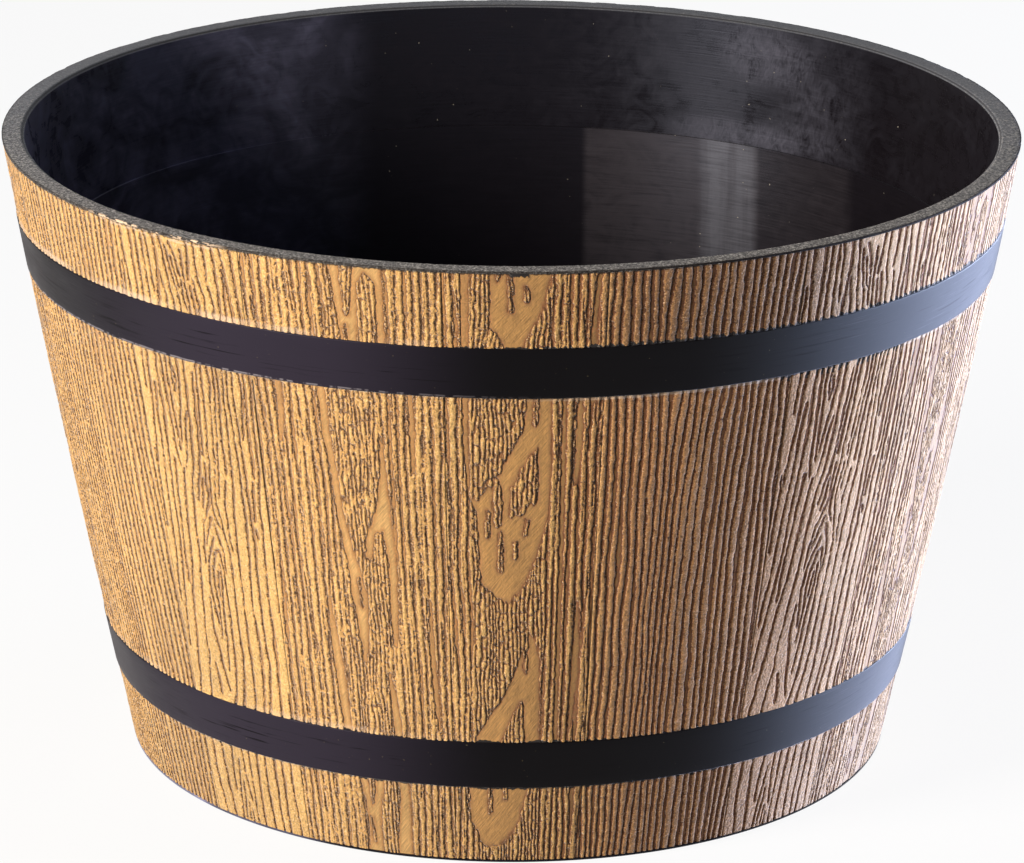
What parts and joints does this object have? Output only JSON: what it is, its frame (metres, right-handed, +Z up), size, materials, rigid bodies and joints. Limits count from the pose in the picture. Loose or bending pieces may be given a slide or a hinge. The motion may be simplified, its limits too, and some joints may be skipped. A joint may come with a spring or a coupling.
{
  "type": "half-barrel planter",
  "caption": "Round tapered garden planter shaped as a cut-down barrel, with wood-grain staves, black bands and drain holes in its floor.",
  "frame": {"origin": "centre of the base, on the ground that the planter stands on", "axes": "+Z up along the planter's axis; -Y towards the front, where the picture was taken from, and +X to the right"},
  "size_m": [0.4999, 0.5, 0.312],
  "materials": {
    "tub_rubber": "matte",
    "band_black": "satin",
    "stave_wide": "matte",
    "stave_narrow": "matte"
  },
  "bodies": {
    "root": {"tub": "tub_rubber", "upper_band": "band_black", "lower_band": "band_black", "stave_01": "stave_wide", "stave_02": "stave_narrow", "stave_03": "stave_wide", "stave_04": "stave_narrow", "stave_05": "stave_wide", "stave_06": "stave_narrow", "stave_07": "stave_wide", "stave_08": "stave_narrow", "stave_09": "stave_wide", "stave_10": "stave_narrow", "stave_11": "stave_wide", "stave_12": "stave_narrow", "stave_13": "stave_wide", "stave_14": "stave_narrow", "stave_15": "stave_wide", "stave_16": "stave_narrow", "stave_17": "stave_wide", "stave_18": "stave_narrow"}
  },
  "joints": []
}
